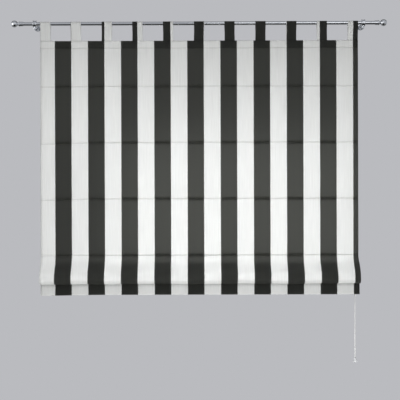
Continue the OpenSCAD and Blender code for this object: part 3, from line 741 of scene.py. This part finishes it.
def makeCloth(cut, fold):
    x = clothWidth(cut)
    wide, thick = 2 * cut["half"], cut["thick"]
    spans = (("cloth_header", stripedTwo, cut["topZ"], cut["stitchZ"]),
             ("cloth_drop", striped, cut["stitchZ"], cut["seamZ"][-1]))
    for name, layers, top, low in spans:
        points, uv, seam = flatCloth(cut, x, seamRows(cut, top, low))
        piece = makePiece(name, [points], layers, "frame", uv=[uv], seam=[seam],
                          thick=thick)
        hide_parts("cloth_panel")
        if name == "cloth_drop":
            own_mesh(piece)
    points, uv, seam, length = foldedCloth(cut, fold, x)
    piece = makePiece("cloth_fold", [points], striped, "bottom", uv=[uv],
                      seam=[seam], thick=thick)
    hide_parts("cloth_panel")


makeCloth(clothCut, foldShape)
print("cloth hung and folded")


# Tabs: straps sewn into the header that pass over the rod

tabStrap = {
    "count": 11, "wide": 0.045, "first": -0.700, "pitch": 0.1355, "thick": 0.0012, "gap": 0.00002,
    "loop": 0.0089, "rodY": -0.085, "topZ": -0.076, "sewn": 0.022, "bow": 0.0009, "columns": 13,
    "sewnPoints": 4, "legPoints": 14, "arcPoints": 33,
    "settle": 0.07, "lean": 0.0009, "leanTurn": 2.4, "cup": 0.0004, "cupTurn": 1.7,
    "pinch": 0.0006, "seamAt": 0.44, "seamWide": 0.02, "seamShade": 0.25,
}


def strapLine(strap):  # (y, z) of a strap: up the front leg, round the rod, down the back leg
    half, drop, loop = strap["thick"] / 2 + strap["gap"], strap["topZ"], strap["loop"]
    start = math.atan2(drop, half) + math.acos(loop / math.hypot(half, drop))
    angle = np.pi - np.linspace(start, np.pi - start, strap["arcPoints"])
    arc = loop * onGrid(np.cos(angle), np.sin(angle))
    front = np.linspace((-half, drop - strap["sewn"]), (-half, drop), strap["sewnPoints"])
    legs = np.linspace(0, 1, strap["legPoints"])[1:-1, None]
    rising = front[-1] + legs * (arc[0] - front[-1])
    falling = arc[-1] + legs * ((half, drop) - arc[-1])
    back = front[::-1] * (-1, 1)
    line = np.concatenate([front, rising, arc, falling, back])
    free = np.clip((line[:, 1] - drop) / (-loop - drop), 0, 1)
    line[:, 0] += strap["bow"] * np.sin(np.pi * free) * np.sign(line[:, 0])
    return line + (strap["rodY"], 0)


def makeTabs(strap):
    line = strapLine(strap)
    along = lengthAlong(line)
    share = np.linspace(0, 1, strap["columns"])
    side = 2 * share - 1
    hung = smoothStep((line[:, 1] - strap["topZ"]) / strap["settle"])[:, None]
    pinch = -strap["pinch"] * np.sin(np.pi * hung) * side
    # stitch lines near each edge, of strength seamShade: the material darkens them with painted
    # crease shade and dents them
    edge = share - 0.5
    fromSeam = edge - strap["seamAt"] * np.sign(edge)
    sewn = np.exp(-(fromSeam / strap["seamWide"]) ** 2) * strap["seamShade"]
    for number in range(1, strap["count"] + 1):
        left = strap["first"] + (number - 1) * strap["pitch"]
        # each strap lies a little to one side on the rod, and a little turned
        shift = strap["lean"] * math.sin(strap["leanTurn"] * number) * hung
        cup = strap["cup"] * math.cos(strap["cupTurn"] * number) * hung * side
        x = left + strap["wide"] * share + shift + pinch
        points = onGrid(x, line[:, :1] + cup, line[:, 1:])
        uv = onGrid(left + strap["wide"] * share - strap["first"], along[:, None])
        piece = makePiece(f"tab_strap_{number}", [points], stripedTwo, "frame",
                          uv=[uv], seam=[np.broadcast_to(sewn, x.shape)], thick=strap["thick"])
        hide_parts(f"tab_{number}")


makeTabs(tabStrap)
print("tabs looped")


# Header facing and batten pockets: plain tape behind the cloth

facingStrip = {
    "backY": -0.0862, "rearY": -0.0766, "topZ": -0.0766, "lowZ": -0.1094, "behindTabs": -0.0834,
    "rollY": 0.0, "corner": 0.002, "cornerSteps": 7, "thick": 0.0012, "columns": 71,
    "notchIn": 0.0004, "notchEdge": 0.0008, "notchOut": 0.0012,
}
pocketTape = {
    "y": (-0.0862, -0.0862, -0.0862, -0.0862, -0.08782),
    "z": (-0.277, -0.525, -0.773, -1.021, -1.068),
    "body": ("pleat_1", "pleat_2", "pleat_3", "bottom", "bottom"),
    "half": 0.700, "columns": 57, "thick": 0.0007, "base": 0.0004, "centre": 0.0049,
    "loop": 0.0041, "loopReach": 84, "loopPoints": 25, "flange": 0.009, "neck": 0.0062,
    "neckDown": 0.0016, "neckPull": (-0.0022, 0.0042), "neckSteps": 9,
}


def makeFacing(strip, strap, half):
    # a C-shaped fold round the slat; its top edge rolls over to the rear, and its top lip is cut
    # back where a strap passes
    path = rounded([(strip["rollY"], strip["topZ"]), (strip["rearY"], strip["topZ"]),
                    (strip["rearY"], strip["lowZ"]), (strip["backY"], strip["lowZ"])],
                   strip["corner"], strip["cornerSteps"])
    lefts = strap["first"] + np.arange(strap["count"])[:, None] * strap["pitch"]
    edges = lefts + np.array([0, strap["wide"]])
    outward = np.array([-1, 1])
    beside = [(edges + strip[gap] * outward).ravel() for gap in ("notchOut", "notchIn")]
    x = np.sort(np.concatenate([np.linspace(-half, half, strip["columns"]), *beside]))
    x = x[np.abs(x) <= half]
    cut = edges + strip["notchEdge"] * outward
    inTab = ((x[:, None] > cut[:, 0]) & (x[:, None] < cut[:, 1])).any(1)
    y, z = (np.repeat(path[:, k:k + 1], len(x), axis=1) for k in (0, 1))
    y[0] = np.where(inTab, strip["behindTabs"], strip["backY"])
    points = onGrid(x, y, z)
    along = lengthAlong(np.concatenate([[[strip["backY"], strip["topZ"]]], path[1:]]))
    uv = onGrid(x, along[:, None])
    piece = makePiece("header_lining", [points], lining, "frame", uv=[uv],
                      thick=strip["thick"])
    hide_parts("header_facing")


def makePockets(tape):  # flat flanges with a hump between them that goes round the batten
    base, neck = tape["base"] - tape["centre"], tape["neck"]
    angle = np.radians(np.linspace(tape["loopReach"], -tape["loopReach"], tape["loopPoints"]))
    hump = tape["loop"] * onGrid(np.cos(angle), np.sin(angle))
    upper = cubic((base, neck), (base, neck - tape["neckDown"]), tape["neckPull"], hump[0],
                  tape["neckSteps"])
    flange = np.linspace((base, tape["flange"]), (base, neck), 3)
    top = np.concatenate([flange, upper[:-1]])
    line = np.concatenate([top, hump, top[::-1] * (1, -1)])
    along = lengthAlong(line)
    x = np.linspace(-tape["half"], tape["half"], tape["columns"])
    uv = onGrid(x, along[:, None])
    for number, (y, z, body) in enumerate(zip(tape["y"], tape["z"], tape["body"]), 1):
        points = onGrid(x, line[:, :1] + y + tape["centre"], line[:, 1:] + z)
        piece = makePiece(f"batten_tape_{number}", [points], lining, body, uv=[uv],
                          thick=tape["thick"])
        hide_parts(f"batten_pocket_{number}")


makeFacing(facingStrip, tabStrap, clothCut["half"])
makePockets(pocketTape)
print("tapes sewn")


# Rod, finials and thumb screws: turned and plated

def platedPiece(name, shapes, node):
    piece = makePiece(name, shapes, chrome, "frame", closed=True)
    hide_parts(node)


rodSet = {
    "y": -0.085, "half": 0.791, "radius": 0.008, "rings": 41, "sides": 64,
    "ballX": 0.814, "ball": 0.015, "neck": 0.007, "ballSteps": 33, "edge": 0.0009, "edgeSteps": 6,
    "collar": [(0.775, 0.0081), (0.775, 0.0098), (0.788, 0.0098), (0.788, 0.0105),
               (0.794, 0.0105), (0.794, 0.007)],
    "screwX": 0.724, "screwHead": (-0.0175, -0.0235), "screwRadius": 0.005, "shank": 0.0025,
    "dishOut": 0.7, "dishIn": 0.6, "dish": 0.0008, "screwEdge": 0.0006, "screwSteps": 5,
    "screwSides": 132, "ridges": 22, "ridge": 0.06, "ridgedFrom": 0.9,
}


def makeRodSet(rod):
    axis = (0, rod["y"], 0)
    half, radius = rod["half"], rod["radius"]
    tube = turned(np.linspace((-half, radius), (half, radius), rod["rings"]), axis, "x",
                  rod["sides"])
    platedPiece("rod_tube", [tube], "rod")
    reach = math.sqrt(rod["ball"] ** 2 - rod["neck"] ** 2)
    polar = np.linspace(math.atan2(rod["neck"], -reach), 0, rod["ballSteps"])
    ball = onGrid(rod["ballX"] + rod["ball"] * np.cos(polar), rod["ball"] * np.sin(polar))
    stem = rounded(rod["collar"] + [tuple(ball[0])], rod["edge"], rod["edgeSteps"])
    profile = np.concatenate([stem[:-1], ball])
    top, low = rod["screwHead"]
    wide, thin, dish = rod["screwRadius"], rod["shank"], low + rod["dish"]
    outline = rounded([(-radius, thin), (top, thin), (top, wide), (low, wide),
                       (low, rod["dishOut"] * wide), (dish, rod["dishIn"] * wide), (dish, 0)],
                      rod["screwEdge"], rod["screwSteps"])
    ridged = lambda shape, angle: (1 + rod["ridge"] * np.cos(rod["ridges"] * angle)
                                   * (shape[:, 1:] > rod["ridgedFrom"] * wide))
    for side, sign in (("left", -1), ("right", 1)):
        knob = turned(profile, axis, "x", rod["sides"]) * (sign, 1, 1)
        platedPiece(f"finial_ball_{side}", [knob], f"finial_{side}")
        screw = turned(outline, (sign * rod["screwX"], rod["y"], 0), "z", rod["screwSides"], ridged)
        platedPiece(f"thumb_screw_{side}", [screw], f"bracket_screw_{side}")


makeRodSet(rodSet)
print("rod, finials and screws turned")


# Bracket rings: two rounded rims, a pad for the thumb screw and an arm to the wall plate

bracketRing = {
    "x": 0.724, "y": -0.085, "half": 0.008, "bore": 0.0081, "rim": 0.0145, "rimWide": 0.003,
    "band": 0.013, "edge": 0.0012, "edgeSteps": 7, "pad": 0.0055, "padZ": (-0.0175, -0.011),
    "padSteps": 5, "arm": 0.0045, "armY": (-0.075, -0.0025), "armRings": 9,
    "ringSides": 64, "padSides": 40, "armSides": 40,
}


def makeBrackets(ring):
    half, edge, rim = ring["half"], ring["edge"], ring["rim"]
    step = half - ring["rimWide"]
    halfProfile = [(-half, ring["bore"]), (-half, rim), (-step, rim), (-step, ring["band"])]
    mirrored = [(-x, r) for x, r in halfProfile[::-1]]
    band = rounded(halfProfile + mirrored, edge, ring["edgeSteps"])
    low, high = ring["padZ"]
    pad = rounded([(low, 0), (low, ring["pad"]), (high, ring["pad"]), (high, 0)], edge / 2,
                  ring["padSteps"])
    front, rear = ring["armY"]
    arm = np.linspace((front, ring["arm"]), (rear, ring["arm"]), ring["armRings"])
    for side, sign in (("left", -1), ("right", 1)):
        x = sign * ring["x"]
        shapes = [turned(band, (x, ring["y"], 0), "x", ring["ringSides"]),
                  turned(pad, (x, ring["y"], 0), "z", ring["padSides"]),
                  turned(arm, (x, 0, 0), "y", ring["armSides"])]
        platedPiece(f"bracket_ring_{side}", shapes, f"bracket_arm_{side}")


makeBrackets(bracketRing)
print("brackets turned")


# Wall plates and lock housing: the solids' own shapes with rounded edges

softEdge = {  # solid: piece, finish, slot and the edge's width
    "bracket_plate_left": ("wall_plate_left", chrome, "chromed_steel", 0.0008),
    "bracket_plate_right": ("wall_plate_right", chrome, "chromed_steel", 0.0008),
    "cord_lock_body": ("lock_housing", nylon, "lock_plastic", 0.0007),
}
edgeCare = {"merge": 2e-6, "flat": 1, "sharp": 35, "segments": 3}  # metres, degrees, degrees


def roundEdges(solid, name, finish, slot, width, care):
    # a merged copy of the solid, bevelled where its faces meet sharply
    form = bmesh.new()
    form.from_mesh(nodes[solid].data)
    bmesh.ops.remove_doubles(form, verts=form.verts, dist=care["merge"])
    bmesh.ops.dissolve_limit(form, angle_limit=math.radians(care["flat"]), verts=form.verts,
                             edges=form.edges)
    mesh = bpy.data.meshes.new(name)
    form.to_mesh(mesh)
    form.free()
    mesh.polygons.foreach_set("use_smooth", np.ones(len(mesh.polygons), bool))
    mesh.materials.clear()
    mesh.materials.append(finish)
    piece = bpy.data.objects.new(name, mesh)
    bpy.context.scene.collection.objects.link(piece)
    bevel = piece.modifiers.new("edge", "BEVEL")
    bevel.width, bevel.segments = width, care["segments"]
    bevel.limit_method, bevel.angle_limit = "ANGLE", math.radians(care["sharp"])
    piece.modifiers.new("flats", "WEIGHTED_NORMAL").keep_sharp = True  # large flat faces shade flat
    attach(piece, "frame")
    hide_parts(solid)


for solid, make in softEdge.items():
    roundEdges(solid, *make, edgeCare)
print("plates and lock housing rounded")


# Solids that keep their own shape

keptFinish = {
    "head_batten": pine, "batten_": glassFibre, "ring_row": nylon, "hem_bar": alloy,
    "cord_toggles": nylon, "cord_guide": zinc, "cord_lock_pin": turnedSteel,
    "cord_lock_roller": turnedSteel, "cord_joiner": styrene,
}
for name, solid in nodes.items():
    for start, finish in keptFinish.items():
        if name.startswith(start):
            solid.data.materials.clear()
            solid.data.materials.append(finish)
print("solids finished")


# Stage: floor, lamps and background

stageSet = {
    "floorZ": -2.42, "floorHalf": 5.5, "floorBack": 3.2, "floor": "#d9d9d6", "floorGlow": 0.46,
    "backdrop": "#babbbf", "ambient": (0.47, 0.075), "matt": 0.9,
    # name, place, aim, width, height, watts, spread in degrees, what it serves, what it is kept off
    "lamps": [
        ("key", (0.0, -1.1, 0.7), (0.05, -0.1, -1.0), 1.7, 0.4, 4.9, 50, "cloth",
         ("floor", "acorn_pull")),
        ("fill", (-0.3, -3.2, -0.15), (0.0, -0.09, -0.55), 3.4, 1.2, 15, 180, "cloth", ()),
        ("low", (0.1, -1.3, -2.2), (0.0, -0.12, -1.05), 1.8, 0.5, 26, 180, "cloth", ("floor",)),
        ("top", (0.8, -3.4, 1.0), (0.1, -0.085, -0.4), 1.6, 0.5, 9, 180, "all", ()),
        ("side", (-3.0, -1.4, 0.0), (-0.8, -0.085, 0.0), 3.4, 2.4, 40, 180, "metal", ()),
        ("behind", (0.19, 0.32, -0.79), (0.19, -0.09, -0.79), 1.12, 0.6, 1.17, 60, "cloth",
         ("floor",)),
        ("rear", (0.5, 3.2, 0.4), (0.0, -0.05, -0.55), 3.4, 1.4, 20, 180, "cloth", ()),
    ],
    # dark cards that only the plated metal sees: low in front, and above behind, for the rod's
    # dark lines
    "cards": [("#1c1d1e", (-1.8, -4.6, -2.38), (1.8, 0.2, -2.38)),
              ("#1c1d1e", (-1.8, 0.13, 0.6), (1.8, 2.2, 0.6))],
}


def stageSheet(name, colour, low, high, matt, glow=0.0):
    # level rectangle between two corners, painted matt
    mesh = bpy.data.meshes.new(name)
    corners = [low, (high[0], low[1], low[2]), high, (low[0], high[1], low[2])]
    mesh.from_pydata(corners, [], [(0, 1, 2, 3)])
    paint, tree = newMaterial(name + " paint, matt")
    colour = hexToLinear(colour)
    plain = addNode(tree, "BsdfPrincipled", {}, {"Base Color": colour, "Roughness": matt})
    # the camera alone sees the glow, which keeps the floor pale and its shadows soft
    ray = addNode(tree, "LightPath").outputs
    pale = addNode(tree, "Math", times, {0: ray["Is Camera Ray"], 1: glow})
    lift = addNode(tree, "Emission", {}, {"Color": colour, "Strength": pale})
    both = addNode(tree, "AddShader", {}, {0: plain, 1: lift})
    addNode(tree, "OutputMaterial", {}, {"Surface": both})
    mesh.materials.append(paint)
    sheet = bpy.data.objects.new(name, mesh)
    bpy.context.scene.collection.objects.link(sheet)
    return sheet


def hangLamp(name, place, aim, width, height, watts, spread, serves, shaded):
    lamp = bpy.data.lights.new(name, "AREA")
    lamp.shape = "RECTANGLE"
    lamp.size, lamp.size_y, lamp.energy = width, height, watts
    lamp.spread = math.radians(spread)
    holder = bpy.data.objects.new(name, lamp)
    holder.matrix_world = lookingAt(place, aim)
    holder.visible_camera, holder.visible_glossy = False, serves != "cloth"
    holder.visible_diffuse = holder.visible_transmission = serves != "metal"
    if shaded:  # a near lamp would leave a patch on the floor, or clip the acorn
        unlit = bpy.data.collections.new(f"not lit by {name}")
        for piece in shaded:
            unlit.objects.link(bpy.data.objects[piece])
        for held in unlit.collection_objects:
            held.light_linking.link_state = "EXCLUDE"
        holder.light_linking.receiver_collection = unlit
    bpy.context.scene.collection.objects.link(holder)


def makeWorld(stage):  # soft light all round, stronger from the front than from behind
    world = bpy.data.worlds.new("studio")
    world.use_nodes = True
    bpy.context.scene.world = world
    tree = world.node_tree
    tree.nodes.clear()
    way = addNode(tree, "TexCoord").outputs["Generated"]
    depth = addNode(tree, "SeparateXYZ", {}, {"Vector": way}).outputs["Y"]
    front, back = stage["ambient"]
    level = addNode(tree, "MapRange", {}, {0: depth, 1: -1.0, 2: 1.0, 3: front, 4: back})
    light = addNode(tree, "Background", {}, {"Color": (1, 1, 1, 1), "Strength": level})
    backdrop = addNode(tree, "Background", {},
                       {"Color": hexToLinear(stage["backdrop"]), "Strength": 1.0})
    ray = addNode(tree, "LightPath").outputs
    seen = addNode(tree, "Math", larger, {0: ray["Is Camera Ray"], 1: ray["Is Glossy Ray"]})
    # clear things would show the backdrop too, but what comes softly through cloth is the ambient
    clear = addNode(tree, "Math", {"operation": "SUBTRACT"},
                    {0: ray["Is Transmission Ray"], 1: ray["Is Diffuse Ray"]})
    shown = addNode(tree, "Math", larger, {0: seen, 1: clear})
    mix = addNode(tree, "MixShader", {}, {0: shown, 1: light, 2: backdrop})
    addNode(tree, "OutputWorld", {}, {"Surface": mix})


def makeStage(stage):
    half, level, matt = stage["floorHalf"], stage["floorZ"], stage["matt"]
    stageSheet("floor", stage["floor"], (-half, -half, level), (half, stage["floorBack"], level),
               matt, stage["floorGlow"])
    for number, card in enumerate(stage["cards"], 1):
        sheet = stageSheet(f"card {number}", *card, matt)
        sheet.visible_camera = sheet.visible_diffuse = False
        sheet.visible_shadow = sheet.visible_transmission = False
    for lamp in stage["lamps"]:
        hangLamp(*lamp)
    makeWorld(stage)


makeStage(stageSet)
bpy.context.scene.view_settings.view_transform = "Standard"
print("stage lit")
